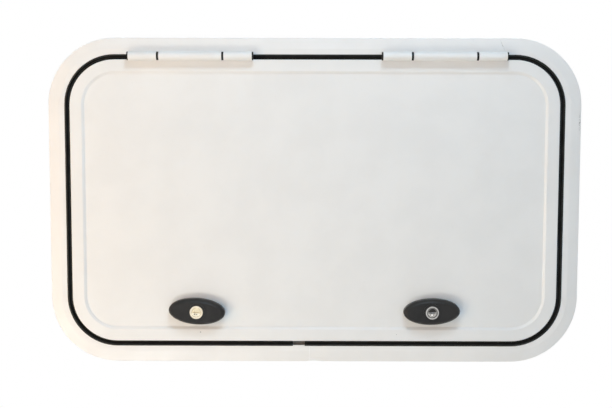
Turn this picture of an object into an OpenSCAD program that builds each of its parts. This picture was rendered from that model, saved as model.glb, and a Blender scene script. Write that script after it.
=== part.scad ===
// Storage hatch door for a caravan wall.
// X runs to the right, Y runs into the wall and Z runs up. The wall's outer surface is y = 0,
// and the origin is the middle of the hatch in that plane. The door is shut and unlatched.

/* [Frame] */
// Overall width of the outer frame
frame_w = 750; // [640:10:1000]
// Overall height of the outer frame
frame_h = 460; // [380:10:700]
// Outer corner radius of the frame
frame_corner_r = 94; // [85:1:110]
// Width of the flange that laps the wall
flange_w = 24; // [20:1:30]
// Width of the flange's sloped outer band
slope_w = 15; // [10:1:17]
// Height of the flange's flat band above the wall
flange_h = 4; // [3.5:0.1:6]
// Height of the flange's outer edge above the wall
flange_edge_h = 2; // [1.6:0.1:3]
// Radius on the flange's front edges
edge_round_r = 1; // [0.5:0.1:1.5]
// Wall thickness of the frame extrusion
wall_t = 1.8; // [1.5:0.1:2.5]
// Width of the flange's foot on the wall, outside the sealant recess
foot_w = 3; // [2:0.5:5]
// Width of the rib that carries the seal
land_w = 9.5; // [8:0.5:12]
// Width of the stop lip at the back of the frame
lip_w = 20; // [16:1:24]
// X position of the butt joint in the bottom of the frame
frame_joint_x = -7; // [-60:1:60]
// Width of the butt joint's slit
joint_slit_w = 0.3; // [0.2:0.1:0.6]
// Length of the dent in the flange's edge at the butt joint
joint_dent_l = 26; // [10:1:40]
// Depth of that dent
joint_dent_d = 1.2; // [0.5:0.1:1.8]
// Length of the plate that bridges the butt joint
joint_plate_l = 60; // [40:5:90]
// Width of that plate
joint_plate_w = 16; // [10:1:18]
// Thickness of that plate
joint_plate_t = 1.5; // [1:0.1:2.5]
// Distance from the frame's outer edge to the first fixing hole
screw_inset = 150; // [130:5:160]
// Fixing holes along the top, and along the bottom
screw_count = 4; // [2:2:6]
// Radius of the fixing holes
screw_hole_r = 2.25; // [1.5:0.05:3]

/* [Seal] */
// Clear gap between the frame and the door's edge
gap_w = 6; // [5.5:0.1:8]
// How far the seal laps over the flange
seal_lap = 1; // [0.5:0.1:1.5]
// Thickness of the seal's lips
seal_lip_t = 1; // [0.6:0.1:1.5]
// Thickness of the seal's foot on its rib
seal_foot_t = 1.6; // [1:0.1:2]
// Height of the pad that the door closes on
seal_pad_h = 3.7; // [3.2:0.1:5]
// Width of that pad
seal_pad_w = 3.8; // [2:0.1:5]
// Outer radius of the seal's bulb
bulb_r = 2.7; // [2.2:0.1:2.8]
// Wall thickness of the bulb
bulb_wall = 1; // [0.6:0.1:1.3]
// How far the bulb sinks into the lip beside it
bulb_sink = 0.5; // [0.3:0.1:0.8]
// Gap that is left between the seal and what closes on it
seal_clear = 0.3; // [0.2:0.1:0.5]
// X position of the break between the seal's ends
seal_break_x = -22; // [-60:1:60]
// Length of that break
seal_break_l = 17; // [8:1:30]

/* [Door] */
// Corner radius of the door
door_corner_r = 64; // [55:1:80]
// Width of the door trim's flat face
trim_face_w = 16.5; // [12:0.5:18]
// Width of the bevel inside that face
trim_bevel_w = 3.5; // [2:0.5:5]
// Height of the bevel's inner edge above the panel
trim_edge_h = 0.6; // [0.3:0.1:1]
// Height of the trim's face above the panel
trim_t = 2.5; // [2:0.1:3]
// Thickness of the trim's outer edge
trim_edge_t = 1.8; // [1.2:0.1:2.5]
// Thickness of the trim's leg behind the outer skin
trim_leg_t = 2; // [1.5:0.1:2.5]
// Thickness of the trim's lip behind the inner skin
trim_lip_t = 1.5; // [1.2:0.1:2.5]
// Width of that lip over the inner skin
trim_lip_w = 7.7; // [5:0.1:12]
// Thickness of the outer skin
outer_skin_t = 1.2; // [1:0.1:1.4]
// Thickness of the foam core
core_t = 23; // [18:0.5:34]
// Thickness of the inner skin
inner_skin_t = 1.2; // [1:0.1:2]
// Play of the panel in its trim
panel_clear = 0.2; // [0.1:0.1:0.4]
// Room between the door's back part and the seal's rib, for the swing
swing_clear = 7; // [6.5:0.1:9]
// Room between the shut door and the frame's stop lip
stop_clear = 5.5; // [5:0.1:8]

/* [Hinges] */
// Distance from the door's left edge to the middle of the left hinge
hinge_left_inset = 171; // [155:1:185]
// Distance from the door's right edge to the middle of the right hinge
hinge_right_inset = 163.5; // [155:0.5:185]
// Radius of the hinge barrel
barrel_r = 6.25; // [6:0.05:6.5]
// Gap between the barrel and the faces behind it
barrel_lift = 0.3; // [0.2:0.05:0.6]
// Height of the hinge axis above the middle of the gap
hinge_rise = 1.5; // [1.2:0.1:1.6]
// Length of the centre knuckle, on the door
centre_knuckle_l = 87.3; // [60:0.1:95]
// Length of each end knuckle, on the frame
end_knuckle_l = 39.4; // [25:0.1:42]
// Width of the black ring between two knuckles
ring_w = 3.2; // [2:0.1:5]
// Thickness of the black end caps
cap_t = 1.8; // [1:0.1:3]
// How much smaller the rings and caps are in radius
ring_step = 0.3; // [0.1:0.1:0.6]
// Radius of the hinge pin
pin_r = 3; // [2.5:0.1:3.5]
// Running clearance round the hinge pin
pin_clear = 0.05; // [0.02:0.01:0.08]
// End play of the centre knuckle, on each side
knuckle_play = 0.2; // [0.1:0.05:0.4]
// Thickness of the hinge leaves
leaf_t = 2; // [1.5:0.1:2.1]
// Room between a leaf and the other leaf's knuckle
leaf_clear = 0.8; // [0.6:0.1:1]
// Depth of the leaves behind the wall's surface
leaf_back = 1; // [0.5:0.1:1.2]

/* [Latches] */
// Distance from the door's side edge to each latch
latch_inset = 178; // [120:1:200]
// Height of the latches above the door's bottom edge
latch_up = 44; // [40:1:60]
// Length of the oval knob
knob_l = 80; // [60:1:90]
// Width of the oval knob
knob_w = 37; // [32:1:40]
// Height of the knob's straight side
knob_side_h = 8; // [5:0.5:12]
// Height of the knob's bevel
knob_bevel_h = 5.5; // [3:0.5:7]
// Width of the knob's bevel
knob_bevel_w = 4.5; // [2:0.5:5]
// Roundness of the knob's bevel, from 1 for a flat one
knob_bevel_round = 1.3; // [1.1:0.1:2]
// Gap between the knob and its base
knob_gap = 0.4; // [0.3:0.1:0.8]
// How far the left latch stands off level, its right end down
tilt_left = 4; // [-5:0.5:5]
// How far the right latch stands off level, its right end down
tilt_right = -1.5; // [-5:0.5:5]
// Radius of the round boss on the knob
boss_r = 12.5; // [11.5:0.1:13.4]
// Height of that boss above the knob's face
boss_h = 0.8; // [0.3:0.1:1.5]
// Radius of the round base
base_r = 18; // [15:0.5:20]
// Thickness of the round base
base_t = 2.5; // [1.5:0.1:4]
// Radius of the base's sleeve through the door
sleeve_r = 11; // [9:0.5:12]
// Length of sleeve that stands past the nut
sleeve_end = 0.8; // [0.5:0.1:1]
// Play of the sleeve in the panel, and of the nut on the sleeve
sleeve_clear = 0.2; // [0.1:0.05:0.3]
// Width of the sleeve's nut across its flats
sleeve_nut_af = 30; // [27:0.5:34]
// Thickness of that nut
sleeve_nut_t = 3.5; // [2.5:0.1:4]
// Radius of the collar round the key plug
collar_r = 9.25; // [8.5:0.05:10]
// How far the collar stands out of the boss
collar_h = 1.2; // [0.5:0.1:2]
// Depth of the collar's seat in the knob
collar_seat_d = 7; // [5:0.5:8]
// Radius of the key plug
plug_r = 6.6; // [5.5:0.1:7.2]
// How far the plug's face lies inside the collar's face
plug_sink = 0.6; // [0.2:0.1:1]
// Width of the keyway
keyway_w = 7; // [5:0.5:9]
// Height of the keyway
keyway_h = 1.6; // [1:0.1:2]
// Depth of the keyway
keyway_d = 4; // [2:0.5:4.5]
// Running clearance of the plug and of the spindle
turn_clear = 0.05; // [0.02:0.01:0.08]
// Radius of the spindle
spindle_r = 5; // [4.5:0.1:6]
// Depth of the spindle's seat in the knob
spindle_seat_d = 4.5; // [3:0.5:5]
// Width of the spindle's square, in the pawl
square_w = 6.8; // [5.5:0.1:7]
// Radius of the thread on the spindle's end
thread_r = 3; // [2.5:0.1:3.2]
// Length of thread that stands past the pawl's nut
thread_end = 1; // [0.5:0.1:3]
// Gap between the latched pawl and the stop lip
pawl_gap = 0.5; // [0.3:0.1:1]
// How far the latched pawl reaches behind the stop lip
pawl_lap = 6; // [3:0.5:10]
// Thickness of the pawl
pawl_t = 3; // [2:0.1:4]
// Width of the pawl's arm
pawl_w = 15; // [12:0.5:18]
// Play of the pawl's square hole and of its nut's bore
pawl_fit = 0.1; // [0.05:0.05:0.2]
// Width of the pawl's nut across its flats
pawl_nut_af = 10; // [9:0.5:13]
// Thickness of the pawl's nut
pawl_nut_t = 4; // [3:0.1:5]

/* [Hidden] */
$fn = 64;

white = [0.93, 0.91, 0.88];
rubber = [0.12, 0.12, 0.13];
black = [0.17, 0.17, 0.18];
bare_metal = [0.72, 0.72, 0.70];
foam = [0.90, 0.86, 0.70];
chrome = [0.84, 0.82, 0.76];

// Door size, from the frame and the gap
door_w = frame_w - 2 * (flange_w + gap_w);
door_h = frame_h - 2 * (flange_w + gap_w);

// Depths along Y, from the front to the back
face_y = -flange_h;
outer_skin_y = face_y + trim_t;
core_y = outer_skin_y + outer_skin_t;
inner_skin_y = core_y + core_t;
door_back_y = inner_skin_y + inner_skin_t;
trim_leg_y = core_y + trim_leg_t;
land_y = trim_leg_y + seal_clear + seal_pad_h;
lip_y = door_back_y + trim_lip_t + stop_clear;
frame_back_y = lip_y + wall_t;

// Distances inward from the frame's outer edge
land_u = flange_w + land_w;
lip_u = flange_w + lip_w;

// Distances inward from the door's outer edge
trim_w = trim_face_w + trim_bevel_w;
pocket_v = land_w + swing_clear - gap_w;
core_v = pocket_v + trim_edge_t + panel_clear;
skin_v = trim_edge_t + panel_clear;

// Hinge axis and stack
hinge_y = face_y - barrel_lift - barrel_r;
hinge_z = door_h / 2 + gap_w / 2 + hinge_rise;
hinge_left_x = hinge_left_inset - door_w / 2;
hinge_right_x = door_w / 2 - hinge_right_inset;
hinge_half_l = centre_knuckle_l / 2 + ring_w + end_knuckle_l;

// Latch place and depths
latch_x = door_w / 2 - latch_inset;
latch_z = latch_up - door_h / 2;
base_y = outer_skin_y - base_t;
knob_back_y = base_y - knob_gap;
bevel_y = knob_back_y - knob_side_h;
knob_face_y = bevel_y - knob_bevel_h;
boss_y = knob_face_y - boss_h;
collar_seat_y = boss_y + collar_seat_d;
collar_y = boss_y - collar_h;
plug_y = collar_y + plug_sink;
spindle_y = knob_back_y - spindle_seat_d;
sleeve_nut_y = door_back_y;
sleeve_back_y = sleeve_nut_y + sleeve_nut_t + sleeve_end;
pawl_y = frame_back_y + pawl_gap;
pawl_nut_y = pawl_y + pawl_t;
spindle_back_y = pawl_nut_y + pawl_nut_t + thread_end;
pawl_reach = latch_up + flange_w + gap_w - lip_u + pawl_lap;

// Points along an arc about (x, y), from angle a0 to angle a1
function arc(x, y, r, a0, a1, n = 4) =
    [for (i = [0:n]) let (a = a0 + (a1 - a0) * i / n) [x + r * cos(a), y + r * sin(a)]];

// Height of the sloped band above the wall at a distance u from the outer edge
function slope_h(u) =
    flange_edge_h + (flange_h - flange_edge_h) * (u - edge_round_r) / (slope_w - edge_round_r);

// Bends a section round a rectangle with rounded corners. The section's first coordinate
// runs inward from the outer edge, and its second runs along Y.
module bent_ring(w, h, r) {
    for (side = [0:3]) {
        half_a = (side % 2 == 0 ? w : h) / 2 - r;
        half_b = (side % 2 == 0 ? h : w) / 2 - r;
        rotate([0, 90 * side, 0]) {
            translate([-half_a, 0, half_b + r])
                rotate([90, 0, 90])
                    linear_extrude(2 * half_a) rotate(-90) children();
            translate([half_a, 0, half_b])
                rotate([90, 0, 0])
                    rotate_extrude(angle = 90) translate([r, 0]) rotate(180) children();
        }
    }
}

module rounded_rect(w, h, r) {
    square([w - 2 * r, h], center = true);
    square([w, h - 2 * r], center = true);
    for (x = [-1, 1], z = [-1, 1])
        translate([x * (w / 2 - r), z * (h / 2 - r)]) circle(r);
}

// A slab across the door from depth y, its outline a distance v inside the door's edge
module door_slab(v, y, t) {
    translate([0, y + t, 0])
        rotate([90, 0, 0])
            linear_extrude(t) rounded_rect(door_w - 2 * v, door_h - 2 * v, door_corner_r - v);
}

// A round bar along Y from y0 to y1
module bar_y(r, y0, y1) {
    translate([0, y0, 0]) rotate([-90, 0, 0]) cylinder(r = r, h = y1 - y0);
}

// A round bar along X from x0 to x1
module bar_x(r, x0, x1) {
    translate([x0, 0, 0]) rotate([0, 90, 0]) cylinder(r = r, h = x1 - x0);
}

module at_hinge(x) {
    translate([x, hinge_y, hinge_z]) children();
}

module at_latch(x) {
    translate([x, 0, latch_z]) children();
}

// Puts what turns with a knob at its latch, as far off level as that knob stands
module on_knob(x) {
    at_latch(x) rotate([0, x < 0 ? tilt_left : tilt_right, 0]) children();
}

module frame_section() {
    inner_u = flange_w - wall_t;
    polygon(concat(
        [[0, 0]],
        arc(edge_round_r, edge_round_r - flange_edge_h, edge_round_r, 180, 270),
        [[slope_w, face_y]],
        arc(flange_w - edge_round_r, face_y + edge_round_r, edge_round_r, 270, 360),
        [
            [flange_w, land_y], [land_u, land_y],
            [land_u, land_y + wall_t], [flange_w, land_y + wall_t],
            [flange_w, lip_y], [lip_u, lip_y],
            [lip_u, frame_back_y], [inner_u, frame_back_y],
            [inner_u, face_y + wall_t], [slope_w, face_y + wall_t],
            [foot_w, wall_t - slope_h(foot_w)], [foot_w, 0]
        ]
    ));
}

module screw_holes() {
    reach_x = frame_w / 2 - screw_inset;
    reach_z = frame_h / 2 - screw_inset;
    pitch = 2 * reach_x / (screw_count - 1);
    screw_y = (land_y + wall_t + lip_y) / 2;
    for (end = [-1, 1]) {
        for (i = [0:screw_count - 1])
            translate([i * pitch - reach_x, screw_y, end * (frame_h / 2 - flange_w)])
                cylinder(r = screw_hole_r, h = 3 * wall_t, center = true);
        for (z = [-reach_z, reach_z])
            translate([end * (frame_w / 2 - flange_w), screw_y, z])
                rotate([0, 90, 0]) cylinder(r = screw_hole_r, h = 3 * wall_t, center = true);
    }
}

module outer_frame() {
    dent_r = (pow(joint_dent_l / 2, 2) + pow(joint_dent_d, 2)) / (2 * joint_dent_d);
    color(white)
        difference() {
            bent_ring(frame_w, frame_h, frame_corner_r) frame_section();
            screw_holes();
            translate([frame_joint_x - joint_slit_w / 2, face_y - 1, -frame_h / 2 - 1])
                cube([joint_slit_w, frame_back_y - face_y + 2, lip_u + 2]);
            translate([frame_joint_x + joint_dent_l / 4, 0, joint_dent_d - frame_h / 2 - dent_r])
                bar_y(dent_r, face_y - 1, 1);
        }
}

module frame_joint_plate() {
    plate_y = (land_y + wall_t + lip_y - joint_plate_w) / 2;
    color(bare_metal)
        translate([frame_joint_x - joint_plate_l / 2, plate_y, flange_w - frame_h / 2])
            cube([joint_plate_l, joint_plate_w, joint_plate_t]);
}

module seal_section() {
    lip_y0 = face_y - seal_lip_t / 2;
    pad_u = land_u - seal_pad_w;
    bulb_u = flange_w + seal_lip_t + bulb_r - bulb_sink;
    bulb_y = leaf_back + seal_clear + bulb_r;
    translate([flange_w - seal_lap, lip_y0]) square([seal_lap + seal_lip_t, seal_lip_t / 2]);
    translate([flange_w, lip_y0]) square([seal_lip_t, land_y - lip_y0]);
    difference() {
        union() {
            translate([flange_w, land_y - seal_foot_t]) square([land_w, seal_foot_t]);
            translate([pad_u, land_y - seal_pad_h]) square([seal_pad_w, seal_pad_h]);
            intersection() {
                translate([bulb_u, bulb_y]) circle(bulb_r);
                translate([flange_w, face_y]) square([land_w, land_y - face_y]);
            }
        }
        intersection() {
            translate([bulb_u, bulb_y]) circle(bulb_r - bulb_wall);
            translate([flange_w, face_y]) square([land_w, land_y - seal_foot_t - face_y]);
        }
    }
}

module frame_seal() {
    notch_h = seal_lap + gap_w;
    color(rubber)
        difference() {
            bent_ring(frame_w, frame_h, frame_corner_r) seal_section();
            translate([seal_break_x - seal_break_l / 2, face_y - 2, -frame_h / 2])
                cube([seal_break_l, land_y - face_y + 4, land_u + 1]);
            for (x = [hinge_left_x, hinge_right_x])
                translate([x - hinge_half_l - 1, face_y - 2, door_h / 2])
                    cube([2 * hinge_half_l + 2, leaf_back + seal_clear / 2 - face_y + 2, notch_h + 1]);
        }
}

// The frame's half of a hinge: two end knuckles on a leaf against the frame
module hinge_frame_leaf(x) {
    top = frame_h / 2 - flange_w - hinge_z;
    start = centre_knuckle_l / 2 + ring_w;
    back = leaf_back - hinge_y;
    front = barrel_r + leaf_clear;
    color(white)
        at_hinge(x)
            difference() {
                union() {
                    translate([-hinge_half_l, front, top - leaf_t])
                        cube([2 * hinge_half_l, back - front, leaf_t]);
                    for (x0 = [-hinge_half_l, start]) {
                        bar_x(barrel_r, x0, x0 + end_knuckle_l);
                        translate([x0, 0, top - leaf_t]) cube([end_knuckle_l, back, leaf_t]);
                    }
                }
                bar_x(pin_r + pin_clear, -hinge_half_l - 1, hinge_half_l + 1);
            }
}

// The door's half of a hinge: the centre knuckle on a leaf against the door's edge
module hinge_door_leaf(x) {
    bottom = door_h / 2 - hinge_z;
    half_l = centre_knuckle_l / 2;
    back = leaf_back - hinge_y;
    front = barrel_r + leaf_clear;
    color(white)
        at_hinge(x)
            difference() {
                union() {
                    translate([-hinge_half_l, front, bottom])
                        cube([2 * hinge_half_l, back - front, leaf_t]);
                    bar_x(barrel_r, -half_l, half_l);
                    translate([-half_l, 0, bottom]) cube([2 * half_l, back, leaf_t]);
                }
                bar_x(pin_r + pin_clear, -half_l - 1, half_l + 1);
            }
}

module hinge_pin(x) {
    color(bare_metal) at_hinge(x) bar_x(pin_r, -hinge_half_l, hinge_half_l);
}

// Rings between the knuckles and caps on the ends
module hinge_bushes(x) {
    ring_x = centre_knuckle_l / 2 + knuckle_play;
    color(black)
        at_hinge(x)
            for (side = [0, 180])
                rotate([0, side, 0]) {
                    difference() {
                        bar_x(barrel_r - ring_step, ring_x, ring_x + ring_w - knuckle_play);
                        bar_x(pin_r + pin_clear, ring_x - 1, ring_x + ring_w);
                    }
                    bar_x(barrel_r - ring_step, hinge_half_l, hinge_half_l + cap_t);
                }
}

module trim_section() {
    inner_v = pocket_v + trim_edge_t;
    lip_v = inner_v + trim_lip_w;
    polygon(concat(
        [[0, trim_leg_y]],
        arc(edge_round_r, face_y + edge_round_r, edge_round_r, 180, 270),
        [
            [trim_face_w, face_y],
            [trim_w, outer_skin_y - trim_edge_h], [trim_w, outer_skin_y],
            [trim_edge_t, outer_skin_y], [trim_edge_t, core_y],
            [inner_v, core_y], [inner_v, door_back_y],
            [lip_v, door_back_y], [lip_v, door_back_y + trim_lip_t],
            [pocket_v, door_back_y + trim_lip_t], [pocket_v, trim_leg_y]
        ]
    ));
}

module door_trim() {
    color(white) bent_ring(door_w, door_h, door_corner_r) trim_section();
}

// A layer of the panel, bored for both latch sleeves
module bored_slab(v, y, t) {
    difference() {
        door_slab(v, y, t);
        for (x = [-latch_x, latch_x])
            at_latch(x) bar_y(sleeve_r + sleeve_clear, y - 1, y + t + 1);
    }
}

module outer_skin() {
    color(white) bored_slab(skin_v, outer_skin_y, outer_skin_t);
}

module foam_core() {
    color(foam) bored_slab(core_v, core_y, core_t);
}

module inner_skin() {
    color(white) bored_slab(core_v, inner_skin_y, inner_skin_t);
}

module latch_base(x) {
    color(black)
        at_latch(x)
            difference() {
                union() {
                    bar_y(base_r, base_y, outer_skin_y);
                    bar_y(sleeve_r, outer_skin_y - base_t / 2, sleeve_back_y);
                }
                bar_y(spindle_r + turn_clear, base_y - 1, sleeve_back_y + 1);
            }
}

module hex_nut(af, t, bore_r) {
    rotate([-90, 0, 0])
        difference() {
            cylinder(r = af / sqrt(3), h = t, $fn = 6);
            translate([0, 0, -1]) cylinder(r = bore_r, h = t + 2);
        }
}

module latch_nut(x) {
    color(black)
        at_latch(x)
            translate([0, sleeve_nut_y, 0])
                hex_nut(sleeve_nut_af, sleeve_nut_t, sleeve_r + sleeve_clear);
}

// An oval plate along Y from y0 to y1, its outline a distance inset inside the knob's
module oval(inset, y0, y1) {
    half_l = knob_l / 2 - inset;
    half_w = knob_w / 2 - inset;
    translate([0, y1, 0])
        rotate([90, 0, 0])
            linear_extrude(y1 - y0)
                polygon([for (i = [0:63]) let (a = i * 360 / 64) [half_l * cos(a), half_w * sin(a)]]);
}

// The knob's bevel, as thin ovals along a curve that knob_bevel_round sets
module knob_bevel() {
    steps = 5;
    skin = 0.01;
    hull()
        for (i = [0:steps]) {
            inset = knob_bevel_w * (1 - pow(cos(90 * i / steps), 2 / knob_bevel_round));
            y0 = bevel_y - knob_bevel_h * pow(sin(90 * i / steps), 2 / knob_bevel_round);
            oval(inset, y0, y0 + skin);
        }
}

module latch_knob(x) {
    color(black)
        on_knob(x)
            difference() {
                union() {
                    oval(0, bevel_y, knob_back_y);
                    knob_bevel();
                    bar_y(boss_r, boss_y, bevel_y);
                }
                bar_y(collar_r + turn_clear, boss_y - 1, collar_seat_y);
                bar_y(spindle_r + turn_clear, spindle_y, knob_back_y + 1);
            }
}

module latch_collar(x) {
    color(chrome)
        on_knob(x)
            difference() {
                bar_y(collar_r, collar_y, collar_seat_y);
                bar_y(plug_r + turn_clear, collar_y - 1, collar_seat_y + 1);
            }
}

module key_plug(x) {
    color(chrome)
        on_knob(x)
            difference() {
                bar_y(plug_r, plug_y, collar_seat_y - knuckle_play);
                translate([-keyway_w / 2, plug_y - 1, -keyway_h / 2])
                    cube([keyway_w, keyway_d + 1, keyway_h]);
            }
}

module latch_spindle(x) {
    color(bare_metal)
        on_knob(x) {
            bar_y(spindle_r, spindle_y, pawl_y);
            translate([-square_w / 2, pawl_y - 1, -square_w / 2])
                cube([square_w, pawl_t + 1 - pawl_fit, square_w]);
            bar_y(thread_r, pawl_y, spindle_back_y);
        }
}

// The pawl points along +X at rest, and a quarter turn brings it down behind the stop lip
module latch_pawl(x) {
    hole_w = square_w + 2 * pawl_fit;
    color(bare_metal)
        on_knob(x)
            difference() {
                union() {
                    bar_y(pawl_w / 2, pawl_y, pawl_nut_y);
                    translate([0, pawl_y, -pawl_w / 2])
                        cube([pawl_reach - pawl_w / 2, pawl_t, pawl_w]);
                    translate([pawl_reach - pawl_w / 2, 0, 0])
                        bar_y(pawl_w / 2, pawl_y, pawl_nut_y);
                }
                translate([-hole_w / 2, pawl_y - 1, -hole_w / 2])
                    cube([hole_w, pawl_t + 2, hole_w]);
            }
}

module latch_pawl_nut(x) {
    color(bare_metal)
        on_knob(x)
            translate([0, pawl_nut_y, 0]) hex_nut(pawl_nut_af, pawl_nut_t, thread_r + pawl_fit);
}

outer_frame();
frame_joint_plate();
frame_seal();
hinge_frame_leaf(hinge_left_x);  // hinge_left_frame_leaf
hinge_frame_leaf(hinge_right_x);  // hinge_right_frame_leaf
hinge_pin(hinge_left_x);  // hinge_left_pin
hinge_pin(hinge_right_x);  // hinge_right_pin
hinge_bushes(hinge_left_x);  // hinge_left_bushes
hinge_bushes(hinge_right_x);  // hinge_right_bushes
door_trim();
outer_skin();
foam_core();
inner_skin();
hinge_door_leaf(hinge_left_x);  // hinge_left_door_leaf
hinge_door_leaf(hinge_right_x);  // hinge_right_door_leaf
latch_base(-latch_x);  // latch_left_base
latch_base(latch_x);  // latch_right_base
latch_nut(-latch_x);  // latch_left_nut
latch_nut(latch_x);  // latch_right_nut
latch_knob(-latch_x);  // latch_left_knob
latch_knob(latch_x);  // latch_right_knob
latch_collar(-latch_x);  // latch_left_collar
latch_collar(latch_x);  // latch_right_collar
latch_spindle(-latch_x);  // latch_left_spindle
latch_spindle(latch_x);  // latch_right_spindle
latch_pawl(-latch_x);  // latch_left_pawl
latch_pawl(latch_x);  // latch_right_pawl
latch_pawl_nut(-latch_x);  // latch_left_pawl_nut
latch_pawl_nut(latch_x);  // latch_right_pawl_nut
key_plug(-latch_x);  // key_plug_left
key_plug(latch_x);  // key_plug_right
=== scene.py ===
"""Looks of the storage hatch door: finishes, small fittings, light and camera around its CAD frame."""
import math

import bmesh
import bpy
from mathutils import Matrix, Vector

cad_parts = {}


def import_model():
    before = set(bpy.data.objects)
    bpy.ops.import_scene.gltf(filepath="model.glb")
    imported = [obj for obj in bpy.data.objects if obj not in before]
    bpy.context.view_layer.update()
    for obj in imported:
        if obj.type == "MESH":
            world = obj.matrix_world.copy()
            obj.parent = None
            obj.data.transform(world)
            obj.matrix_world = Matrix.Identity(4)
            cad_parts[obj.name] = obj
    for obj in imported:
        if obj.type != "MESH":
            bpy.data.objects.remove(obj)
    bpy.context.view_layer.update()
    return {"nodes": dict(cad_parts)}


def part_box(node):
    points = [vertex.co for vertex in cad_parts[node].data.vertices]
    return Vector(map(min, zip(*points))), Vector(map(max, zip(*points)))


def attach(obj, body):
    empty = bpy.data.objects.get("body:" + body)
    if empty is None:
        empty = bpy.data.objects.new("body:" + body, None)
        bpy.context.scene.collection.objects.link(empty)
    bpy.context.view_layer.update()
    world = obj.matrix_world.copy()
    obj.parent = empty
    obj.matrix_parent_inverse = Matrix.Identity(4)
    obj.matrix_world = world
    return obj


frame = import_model()
NODES = frame["nodes"]
MM = 0.001

# Camera, fitted to the edges of the frame and the door in the photograph
CAMERA_PLACE = Vector((-6.8, -1523.8, 130.8)) * MM
CAMERA_PITCH = -5.03
CAMERA_YAW = 0.196
CAMERA_ROLL = -0.097
CAMERA_LENS = 63.37
SENSOR_WIDTH = 36.0

# Each light: place, target, diameter in metres, power in watts, colour
LIGHTS = {
    "warm_low": ((-1.00, -0.95, -0.62), (-0.1, 0.0, 0.0), 0.35, 4.0, (1.0, 0.95, 0.73)),
    "cool_high": ((0.20, -1.60, 2.00), (0.0, 0.0, 0.0), 0.60, 5.7, (0.0, 0.54, 1.0)),
    "cool_near": ((0.10, -0.80, 1.15), (0.0, 0.0, 0.0), 0.30, 6.2, (0.86, 0.93, 1.0)),
    "front": ((0.0, -1.70, 0.35), (0.0, 0.0, 0.0), 1.2, 2.8, (0.35, 0.57, 1.0)),
    "front_left": ((-1.10, -1.70, 0.35), (0.0, 0.0, 0.0), 1.2, 7.2, (1.0, 0.66, 0.23)),
    "warm_left": ((-0.85, -0.50, -0.10), (-0.2, 0.0, 0.0), 0.5, 0.7, (1.0, 0.29, 0.0)),
    "low": ((-0.45, -1.10, -0.95), (0.0, 0.0, 0.0), 0.4, 10.5, (0.97, 0.98, 1.0)),
    "far_left": ((-2.20, -1.60, 0.20), (0.0, 0.0, 0.0), 0.8, 3.4, (1.0, 0.42, 0.0)),
    "behind": ((0.70, 1.80, 0.90), (0.0, 0.0, 0.0), 1.2, 32.0, (1.0, 0.96, 0.91)),
}
AMBIENT_COLOUR = (0.80, 0.92, 1.0)
AMBIENT_STRENGTH = 0.30

# Floor under the wall that the hatch would hang in
FLOOR_Z = -0.9
FLOOR_SIZE = 40.0

# Front of each key plug, the height of the latches, and for each latch its x and its tilt in degrees
PLUG_Y = -19.3
LATCH_Z = -156.0
LATCHES = {"left": (-167.0, -4.0), "right": (167.0, 1.5)}

# Pressed ridges where the frame was bent: x, z, angle from level, half length, half width, height in mm
FRAME_RIDGES = [
    (-353.5, 157.0, 72, 15.0, 2.2, 0.40),
    (-347.0, 161.0, 66, 9.0, 1.8, -0.25),
    (-331.0, 194.7, 25, 10.0, 2.0, 0.35),
    (-266.3, 213.0, 40, 6.5, 1.6, 0.25),
    (310.0, 205.4, -35, 14.6, 2.2, 0.40),
    (318.0, 195.5, -42, 8.0, 1.8, -0.25),
    (358.0, 149.0, -59, 14.0, 2.2, 0.40),
    (220.0, 222.6, -24, 8.5, 1.8, 0.30),
    (262.0, 220.6, -68, 6.0, 1.5, -0.45),
    (-6.5, -223.0, 0, 9.0, 2.4, -0.35),
    (4.0, -225.5, -8, 9.0, 1.7, -0.55),
]
TRIM_RIDGES = [
    (327.7, 160.2, -61, 10.4, 2.0, 0.30),
    (-322.0, 168.0, 52, 9.0, 2.0, 0.20),
]
# Rubbed places in the frame's paint: x, z, angle, half length, half width in mm
FRAME_SCUFFS = [
    (372.9, 112.8, 90, 10.5, 1.1),
    (262.5, 220.0, -68, 5.0, 0.5),
]
# Specks of dirt on the door's trim
TRIM_SPECKS = [
    (-162.6, -187.3, 0, 0.8, 0.6),
    (118.0, -190.5, 20, 0.5, 0.35),
]
# Channel behind the break in the seal's ends, painted dark brown on the frame's coat as shade: lowest and
# highest corner in mm
SEAL_BREAK_SHADE_BOX = ((-30.6, -2.4, -206.5), (-13.4, 6.0, -195.0))
# Painted shade in the left keyway, a painted highlight on the right lip and painted shade on the right
# collar's shoulder: x, z, angle, half length, half width in mm, colour
# Painted shade: dark slot marks where the left keyway opens
LEFT_KEYWAY_SHADE = [
    (-169.3, -158.4, 0, 1.3, 0.7, (0.10, 0.07, 0.035)),
    (-166.4, -158.5, 0, 0.9, 0.6, (0.12, 0.085, 0.045)),
]
# Painted highlight: a near-white glint on the right key's lip
RIGHT_LIP_GLINT = [(166.6, -159.0, 0, 1.1, 1.1, (0.99, 0.98, 0.96))]
# Painted shade: the right collar's inner shoulder darkened
RIGHT_SHOULDER_SHADE = [(167.0, -156.0, 0, 7.5, 7.5, (0.11, 0.108, 0.105))]
# Rivets on the joint plate, as shares of its length
RIVET_PLACES = (0.12, 0.36, 0.64, 0.88)


def camera():
    data = bpy.data.cameras.new("camera")
    data.lens = CAMERA_LENS
    data.sensor_width = SENSOR_WIDTH
    data.clip_start = 0.05
    data.clip_end = 100.0
    cam = bpy.data.objects.new("camera", data)
    turn = (
        Matrix.Rotation(math.radians(CAMERA_YAW), 4, "Z")
        @ Matrix.Rotation(math.radians(CAMERA_PITCH), 4, "X")
        @ Matrix.Rotation(math.radians(CAMERA_ROLL), 4, "Y")
        @ Matrix.Rotation(math.radians(90), 4, "X")
    )
    cam.matrix_world = Matrix.Translation(CAMERA_PLACE) @ turn
    bpy.context.collection.objects.link(cam)
    bpy.context.scene.camera = cam


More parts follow.
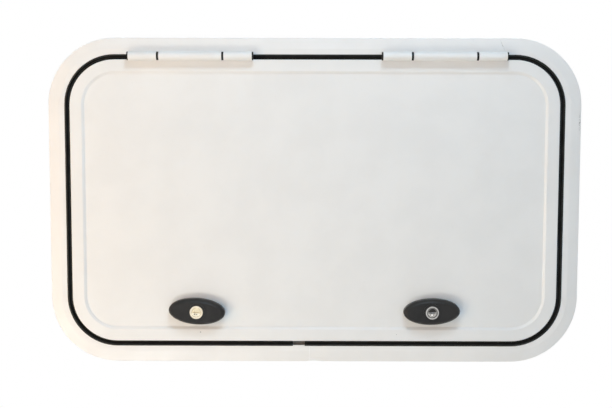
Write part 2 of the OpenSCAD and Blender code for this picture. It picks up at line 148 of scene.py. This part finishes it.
def area_light(name, place, target, size, power, colour):
    data = bpy.data.lights.new(name, "AREA")
    data.shape = "DISK"
    data.size = size
    data.energy = power
    data.color = colour
    lamp = bpy.data.objects.new(name, data)
    lamp.location = place
    aim = Vector(target) - Vector(place)
    lamp.rotation_euler = aim.to_track_quat("-Z", "Y").to_euler()
    bpy.context.collection.objects.link(lamp)


def lights():
    for name, (place, target, size, power, colour) in LIGHTS.items():
        area_light(name, place, target, size, power, colour)


def white_rays(tree):
    """1 for rays that see the background: camera, glossy and transmission rays."""
    path = tree.nodes.new("ShaderNodeLightPath")
    first = tree.nodes.new("ShaderNodeMath")
    first.operation = "MAXIMUM"
    second = tree.nodes.new("ShaderNodeMath")
    second.operation = "MAXIMUM"
    tree.links.new(path.outputs["Is Camera Ray"], first.inputs[0])
    tree.links.new(path.outputs["Is Glossy Ray"], first.inputs[1])
    tree.links.new(first.outputs[0], second.inputs[0])
    tree.links.new(path.outputs["Is Transmission Ray"], second.inputs[1])
    return second.outputs[0]


def world():
    made = bpy.data.worlds.new("world")
    made.use_nodes = True
    tree = made.node_tree
    tree.nodes.clear()
    out = tree.nodes.new("ShaderNodeOutputWorld")
    mix = tree.nodes.new("ShaderNodeMixShader")
    ambient = tree.nodes.new("ShaderNodeBackground")
    ambient.inputs["Color"].default_value = (*AMBIENT_COLOUR, 1)
    ambient.inputs["Strength"].default_value = AMBIENT_STRENGTH
    white = tree.nodes.new("ShaderNodeBackground")
    white.inputs["Color"].default_value = (1, 1, 1, 1)
    white.inputs["Strength"].default_value = 1.0
    tree.links.new(white_rays(tree), mix.inputs["Fac"])
    tree.links.new(ambient.outputs[0], mix.inputs[1])
    tree.links.new(white.outputs[0], mix.inputs[2])
    tree.links.new(mix.outputs[0], out.inputs["Surface"])
    bpy.context.scene.world = made


def floor():
    mesh = bpy.data.meshes.new("floor")
    half = FLOOR_SIZE / 2
    corners = [(-half, -half, FLOOR_Z), (half, -half, FLOOR_Z), (half, half, FLOOR_Z), (-half, half, FLOOR_Z)]
    mesh.from_pydata(corners, [], [(0, 1, 2, 3)])
    plane = bpy.data.objects.new("floor", mesh)
    bpy.context.collection.objects.link(plane)
    mat = bpy.data.materials.new("floor")
    mat.use_nodes = True
    tree = mat.node_tree
    tree.nodes.clear()
    out = tree.nodes.new("ShaderNodeOutputMaterial")
    mix = tree.nodes.new("ShaderNodeMixShader")
    matte = tree.nodes.new("ShaderNodeBsdfDiffuse")
    matte.inputs["Color"].default_value = (0.8, 0.8, 0.8, 1)
    glow = tree.nodes.new("ShaderNodeEmission")
    glow.inputs["Color"].default_value = (1, 1, 1, 1)
    tree.links.new(white_rays(tree), mix.inputs["Fac"])
    tree.links.new(matte.outputs[0], mix.inputs[1])
    tree.links.new(glow.outputs[0], mix.inputs[2])
    tree.links.new(mix.outputs[0], out.inputs["Surface"])
    mesh.materials.append(mat)


class Shader:
    """A material under construction: its tree, its main shader and short ways to add nodes."""

    def __init__(self, name):
        self.mat = bpy.data.materials.new(name)
        self.mat.use_nodes = True
        self.tree = self.mat.node_tree
        self.tree.nodes.clear()
        self.bsdf = self.node("ShaderNodeBsdfPrincipled")
        out = self.node("ShaderNodeOutputMaterial")
        self.link(self.bsdf.outputs[0], out.inputs["Surface"])
        self.where = self.node("ShaderNodeTexCoord").outputs["Object"]

    def node(self, kind, **settings):
        made = self.tree.nodes.new(kind)
        for key, value in settings.items():
            setattr(made, key, value)
        return made

    def link(self, source, target):
        self.tree.links.new(source, target)

    def feed(self, target, value):
        """A constant or another node's output, into a socket."""
        if isinstance(value, (int, float)):
            target.default_value = value
        elif isinstance(value, tuple):
            target.default_value = (*value, 1) if len(target.default_value) == 4 else value
        else:
            self.link(value, target)

    def noise(self, scale, detail=2.0, stretch=None):
        made = self.node("ShaderNodeTexNoise")
        made.inputs["Scale"].default_value = scale
        made.inputs["Detail"].default_value = detail
        where = self.vector("MULTIPLY", self.where, stretch) if stretch else self.where
        self.link(where, made.inputs["Vector"])
        return made.outputs["Fac"]

    def ramp(self, value, low, high, to_low=0.0, to_high=1.0):
        made = self.node("ShaderNodeMapRange", interpolation_type="SMOOTHSTEP")
        for key, number in (("From Min", low), ("From Max", high), ("To Min", to_low), ("To Max", to_high)):
            made.inputs[key].default_value = number
        self.link(value, made.inputs["Value"])
        return made.outputs["Result"]

    def maths(self, operation, a, b=None):
        made = self.node("ShaderNodeMath", operation=operation)
        self.feed(made.inputs[0], a)
        if b is not None:
            self.feed(made.inputs[1], b)
        return made.outputs[0]

    def vector(self, operation, a, b):
        made = self.node("ShaderNodeVectorMath", operation=operation)
        self.feed(made.inputs[0], a)
        self.feed(made.inputs[1], b)
        return made.outputs["Value"] if operation == "DOT_PRODUCT" else made.outputs["Vector"]

    def total(self, values):
        result = values[0]
        for value in values[1:]:
            result = self.maths("ADD", result, value)
        return result

    def blend(self, amount, low, high):
        made = self.node("ShaderNodeMix", data_type="RGBA")
        self.feed(made.inputs[0], amount)
        self.feed(made.inputs[6], low)
        self.feed(made.inputs[7], high)
        return made.outputs[2]

    def spot(self, x, z, angle, half_l, half_w):
        """1 in the middle of a long soft spot on the face of the hatch, 0 away from it."""
        away = self.vector("SUBTRACT", self.where, (x * MM, 0.0, z * MM))
        turned = self.node("ShaderNodeVectorRotate", rotation_type="Y_AXIS")
        turned.inputs["Angle"].default_value = math.radians(angle)
        self.link(away, turned.inputs["Vector"])
        scaled = self.vector("MULTIPLY", turned.outputs[0], (1 / (half_l * MM), 0.0, 1 / (half_w * MM)))
        square = self.vector("DOT_PRODUCT", scaled, scaled)
        return self.maths("EXPONENT", self.maths("MULTIPLY", square, -1.0))

    def box_mask(self, low, high, soft=0.0006):
        """1 inside a box given in millimetres, with soft edges."""
        parts = self.node("ShaderNodeSeparateXYZ")
        self.link(self.where, parts.inputs[0])
        result = None
        for axis in range(3):
            for edge, before, after in ((low[axis] * MM, 0.0, 1.0), (high[axis] * MM, 1.0, 0.0)):
                side = self.ramp(parts.outputs[axis], edge - soft, edge + soft, before, after)
                result = side if result is None else self.maths("MULTIPLY", result, side)
        return result

    def height(self, metres):
        """Surface relief from a height in metres."""
        made = self.node("ShaderNodeBump")
        made.inputs["Distance"].default_value = 1.0
        self.link(metres, made.inputs["Height"])
        self.link(made.outputs["Normal"], self.bsdf.inputs["Normal"])

    def to(self, socket, value):
        self.feed(self.bsdf.inputs[socket], value)


def white_coat(name, tone, ridges=(), scuffs=(), specks=(), shaded_channel=None):
    """White powder coat: faint mottling, orange peel, a satin gloss that varies, its own marks, and painted
    shade in a given channel.
    """
    s = Shader(name)
    shade = tuple(c * 0.972 for c in tone)
    colour = s.blend(s.ramp(s.noise(16, 4), 0.35, 0.65), shade, tone)
    dust = s.ramp(s.noise(240, 2), 0.66, 0.80, 0.0, 0.22)
    colour = s.blend(dust, colour, tuple(c * 0.88 for c in tone))
    for mark in scuffs:
        worn = s.maths("MULTIPLY", s.spot(*mark), s.ramp(s.noise(700, 3), 0.38, 0.62))
        colour = s.blend(worn, colour, (0.42, 0.40, 0.37))
    for mark in specks:
        colour = s.blend(s.ramp(s.spot(*mark), 0.25, 0.6), colour, (0.10, 0.09, 0.08))
    if shaded_channel:
        # Painted shade: the channel behind the seal's break is darkened to brown-grey and mottled by noise
        channel_shade = s.maths("MULTIPLY", s.box_mask(*shaded_channel), s.ramp(s.noise(350, 3), 0.1, 0.5, 0.75, 1.0))
        colour = s.blend(channel_shade, colour, (0.105, 0.085, 0.065))
    s.to("Base Color", colour)
    s.to("Roughness", s.ramp(s.noise(55, 4), 0.3, 0.7, 0.33, 0.47))
    relief = [s.maths("MULTIPLY", s.noise(850, 2), 0.000045), s.maths("MULTIPLY", s.noise(9, 2), 0.0004)]
    for x, z, angle, half_l, half_w, rise in ridges:
        relief.append(s.maths("MULTIPLY", s.spot(x, z, angle, half_l, half_w), rise * MM))
    s.height(s.total(relief))
    return s.mat


def plastic(name, tone, rough, gloss, grain, wear=0.0):
    """Moulded plastic or rubber: cloudy tone, fine grain, a few paler rubbed flecks."""
    s = Shader(name)
    s.bsdf.inputs["Specular IOR Level"].default_value = gloss
    darker, paler = tuple(c * 0.75 for c in tone), tuple(c * 1.3 for c in tone)
    colour = s.blend(s.ramp(s.noise(45, 4), 0.3, 0.7), darker, paler)
    flecks = s.ramp(s.noise(520, 3), 0.68, 0.80, 0.0, wear)
    s.to("Base Color", s.blend(flecks, colour, (0.18, 0.17, 0.15)))
    s.to("Roughness", s.ramp(s.noise(130, 4), 0.3, 0.7, rough - 0.07, rough + 0.09))
    fine = s.maths("MULTIPLY", s.noise(grain, 2), 0.00003)
    coarse = s.maths("MULTIPLY", s.noise(60, 2), 0.00006)
    s.height(s.total([fine, coarse]))
    return s.mat


def metal(name, tone, rough, stain=0.8, stretch=(1.0, 1.0, 1.0), marks=()):
    """Bare or plated metal: drawn or turned marks, dull stains, uneven polish, and given marks, which are
    painted shade and painted highlights.
    """
    s = Shader(name)
    s.bsdf.inputs["Metallic"].default_value = 1.0
    colour = s.blend(s.ramp(s.noise(160, 4), 0.35, 0.7), tuple(c * stain for c in tone), tone)
    # Given marks are painted shade or painted highlights, blended into the colour
    for *mark, shade in marks:
        colour = s.blend(s.ramp(s.spot(*mark), 0.33, 0.41), colour, shade)
    s.to("Base Color", colour)
    s.to("Roughness", s.ramp(s.noise(420, 4), 0.3, 0.7, rough * 0.7, rough * 1.35))
    s.height(s.maths("MULTIPLY", s.noise(1500, 3, stretch), 0.00001))
    return s.mat


def foam(name):
    """Rigid foam with small cells."""
    s = Shader(name)
    cell = s.node("ShaderNodeTexVoronoi")
    cell.inputs["Scale"].default_value = 900
    s.link(s.where, cell.inputs["Vector"])
    # Painted shade: the cells' hollows are coloured darker
    hollow_shade = s.ramp(cell.outputs["Distance"], 0.1, 0.6)
    s.to("Base Color", s.blend(hollow_shade, (0.62, 0.54, 0.34), (0.80, 0.73, 0.52)))
    s.bsdf.inputs["Roughness"].default_value = 0.9
    s.height(s.maths("MULTIPLY", cell.outputs["Distance"], 0.0003))
    return s.mat


def dress(mat, *names):
    for name in names:
        slots = NODES[name].data.materials
        slots.clear()
        slots.append(mat)


def both(pattern):
    return [pattern.format(side) for side in ("left", "right")]


def soften(width, *names):
    """Breaks the sharp edges of CAD nodes with a small bevel."""
    for name in names:
        edge = NODES[name].modifiers.new("edge", "BEVEL")
        edge.width = width * MM
        edge.segments = 2
        edge.limit_method = "ANGLE"
        edge.angle_limit = math.radians(40)


def materials():
    frame_coat = white_coat("frame_coat", (0.885, 0.868, 0.845), FRAME_RIDGES, FRAME_SCUFFS, (), SEAL_BREAK_SHADE_BOX)
    hinge_coat = white_coat("hinge_coat", (0.88, 0.87, 0.85))
    pawl_steel = metal("pawl_steel", (0.68, 0.66, 0.58), 0.33, 0.72)
    # The right collar's chrome carries painted shade on its inner shoulder
    grey_chrome = metal("grey_chrome", (0.56, 0.55, 0.53), 0.14, 0.75, marks=RIGHT_SHOULDER_SHADE)
    dress(frame_coat, "outer_frame")
    dress(white_coat("trim_coat", (0.87, 0.86, 0.84), TRIM_RIDGES, (), TRIM_SPECKS), "door_trim")
    dress(white_coat("panel_coat", (0.86, 0.85, 0.83)), "outer_skin")
    dress(white_coat("inner_coat", (0.80, 0.79, 0.77)), "inner_skin")
    dress(hinge_coat, *both("hinge_{}_frame_leaf"), *both("hinge_{}_door_leaf"))
    dress(foam("core_foam"), "foam_core")
    dress(plastic("seal_rubber", (0.019, 0.0195, 0.018), 0.55, 0.2, 1400, 0.12), "frame_seal")
    dress(plastic("bush_plastic", (0.012, 0.012, 0.012), 0.5, 0.2, 1400), *both("hinge_{}_bushes"))
    dress(plastic("latch_plastic", (0.016, 0.0155, 0.015), 0.42, 0.28, 1700, 0.12), *both("latch_{}_base"))
    dress(plastic("knob_plastic", (0.0145, 0.014, 0.0135), 0.36, 0.26, 1700, 0.10), *both("latch_{}_knob"))
    dress(plastic("nut_plastic", (0.02, 0.02, 0.02), 0.5, 0.3, 1200), *both("latch_{}_nut"))
    dress(metal("plate_metal", (0.74, 0.73, 0.71), 0.35, 0.75, (0.15, 1.0, 1.0)), "frame_joint_plate")
    dress(metal("pin_steel", (0.58, 0.57, 0.55), 0.28, 0.7, (0.1, 1.0, 1.0)), *both("hinge_{}_pin"))
    dress(metal("spindle_steel", (0.60, 0.59, 0.56), 0.3, 0.7, (1.0, 0.2, 1.0)), *both("latch_{}_spindle"))
    dress(pawl_steel, *both("latch_{}_pawl"), *both("latch_{}_pawl_nut"))
    # Painted reflection: the left latch's collar and key plug are the same chrome as the right, tinted gold
    # for the warm light they reflect
    dress(metal("chrome_warm_reflection", (0.90, 0.80, 0.62), 0.16, 0.86), "latch_left_collar")
    dress(metal("plug_warm_reflection", (0.86, 0.73, 0.50), 0.24, 0.80), "key_plug_left")
    dress(grey_chrome, "latch_right_collar")
    dress(metal("grey_plug", (0.36, 0.35, 0.33), 0.22, 0.6), "key_plug_right")
    soften(0.3, *both("latch_{}_collar"), *both("latch_{}_nut"))
    soften(0.3, *both("latch_{}_pawl"), *both("latch_{}_pawl_nut"))
    soften(0.4, *both("latch_{}_base"), *both("hinge_{}_bushes"), "frame_joint_plate")
    soften(0.15, *both("key_plug_{}"))


def add_mesh(name, bm, mat, body):
    mesh = bpy.data.meshes.new(name)
    bmesh.ops.recalc_face_normals(bm, faces=bm.faces)
    bm.to_mesh(mesh)
    bm.free()
    mesh.materials.append(mat)
    piece = bpy.data.objects.new(name, mesh)
    bpy.context.collection.objects.link(piece)
    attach(piece, body)
    return piece


def thin_plate(outline, y_back, thickness, chamfer):
    """A plate facing the front, from an outline of (x, z) points in mm, its front edge chamfered."""
    bm = bmesh.new()
    middle = (sum(x for x, z in outline) / len(outline), sum(z for x, z in outline) / len(outline))
    rings = []
    for y, shrink in ((y_back, 0.0), (y_back - thickness + chamfer, 0.0), (y_back - thickness, chamfer)):
        ring = []
        for x, z in outline:
            away = Vector((middle[0] - x, middle[1] - z))
            step = away.normalized() * shrink
            ring.append(bm.verts.new(((x + step.x) * MM, y * MM, (z + step.y) * MM)))
        rings.append(ring)
    count = len(outline)
    for low, high in zip(rings, rings[1:]):
        for i in range(count):
            j = (i + 1) % count
            bm.faces.new((low[i], low[j], high[j], high[i]))
    bm.faces.new(rings[-1])
    bm.faces.new(list(reversed(rings[0])))
    return bm


def plug_half(side, part, turn, thickness, mat):
    """Half of a key plug's raised face: the dust shutter above the keyway, or the lip below it."""
    radius, half_gap, chamfer, steps = 6.0, 1.1, 0.12, 24
    x, tilt = LATCHES[side]
    start = math.asin(half_gap / radius)
    outline = []
    for i in range(steps + 1):
        a = math.radians(turn + tilt) + start + (math.pi - 2 * start) * i / steps
        outline.append((x + radius * math.cos(a), LATCH_Z + radius * math.sin(a)))
    plate = thin_plate(outline, PLUG_Y, thickness, chamfer)
    add_mesh(f"key_{side}_{part}", plate, mat, f"key_{side}")


def rivet(name, x, y, z, mat):
    """A domed rivet head that stands on the joint plate, towards the middle of the hatch."""
    radius, rise, rings, sides = 3.2, 1.3, 5, 24
    bm = bmesh.new()
    last = None
    for k in range(rings):
        a = math.radians(90 * k / rings)
        r = radius * math.cos(a)
        h = rise * math.sin(a)
        ring = []
        for i in range(sides):
            t = 2 * math.pi * i / sides
            ring.append(bm.verts.new(((x + r * math.cos(t)) * MM, (y + r * math.sin(t)) * MM, (z + h) * MM)))
        if last:
            for i in range(sides):
                j = (i + 1) % sides
                bm.faces.new((last[i], last[j], ring[j], ring[i]))
        else:
            bm.faces.new(ring)
        last = ring
    bm.faces.new(last)
    piece = add_mesh(name, bm, mat, "frame")
    for face in piece.data.polygons:
        face.use_smooth = True


def fittings():
    dark = metal("shutter_dark", (0.055, 0.053, 0.05), 0.3, 0.6)
    # The right lip carries a painted highlight, a near-white glint below the keyway
    bright = metal("lip_bright", (0.62, 0.60, 0.56), 0.16, 0.6, marks=RIGHT_LIP_GLINT)
    # Painted reflection: the left key's shutter and lip are tinted gold for the warm light they reflect
    reflection_gold = metal("shutter_reflection_gold", (0.92, 0.80, 0.56), 0.2, 0.85)
    pale_reflection_gold = metal("lip_reflection_gold", (0.95, 0.88, 0.70), 0.18, 0.85, marks=LEFT_KEYWAY_SHADE)
    plug_half("left", "shutter", 0, 0.35, reflection_gold)
    plug_half("right", "shutter", 0, 0.35, dark)
    plug_half("left", "lip", 180, 0.3, pale_reflection_gold)
    plug_half("right", "lip", 180, 0.3, bright)
    low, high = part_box("frame_joint_plate")
    top = high[2] / MM
    middle = (low[1] + high[1]) / 2 / MM
    rivets = metal("rivet_metal", (0.70, 0.69, 0.67), 0.3, 0.8)
    for number, share in enumerate(RIVET_PLACES, 1):
        x = (low[0] + (high[0] - low[0]) * share) / MM
        rivet(f"joint_rivet_{number}", x, middle, top, rivets)


camera()
world()
lights()
floor()
materials()
fittings()
bpy.context.scene.view_settings.view_transform = "Standard"
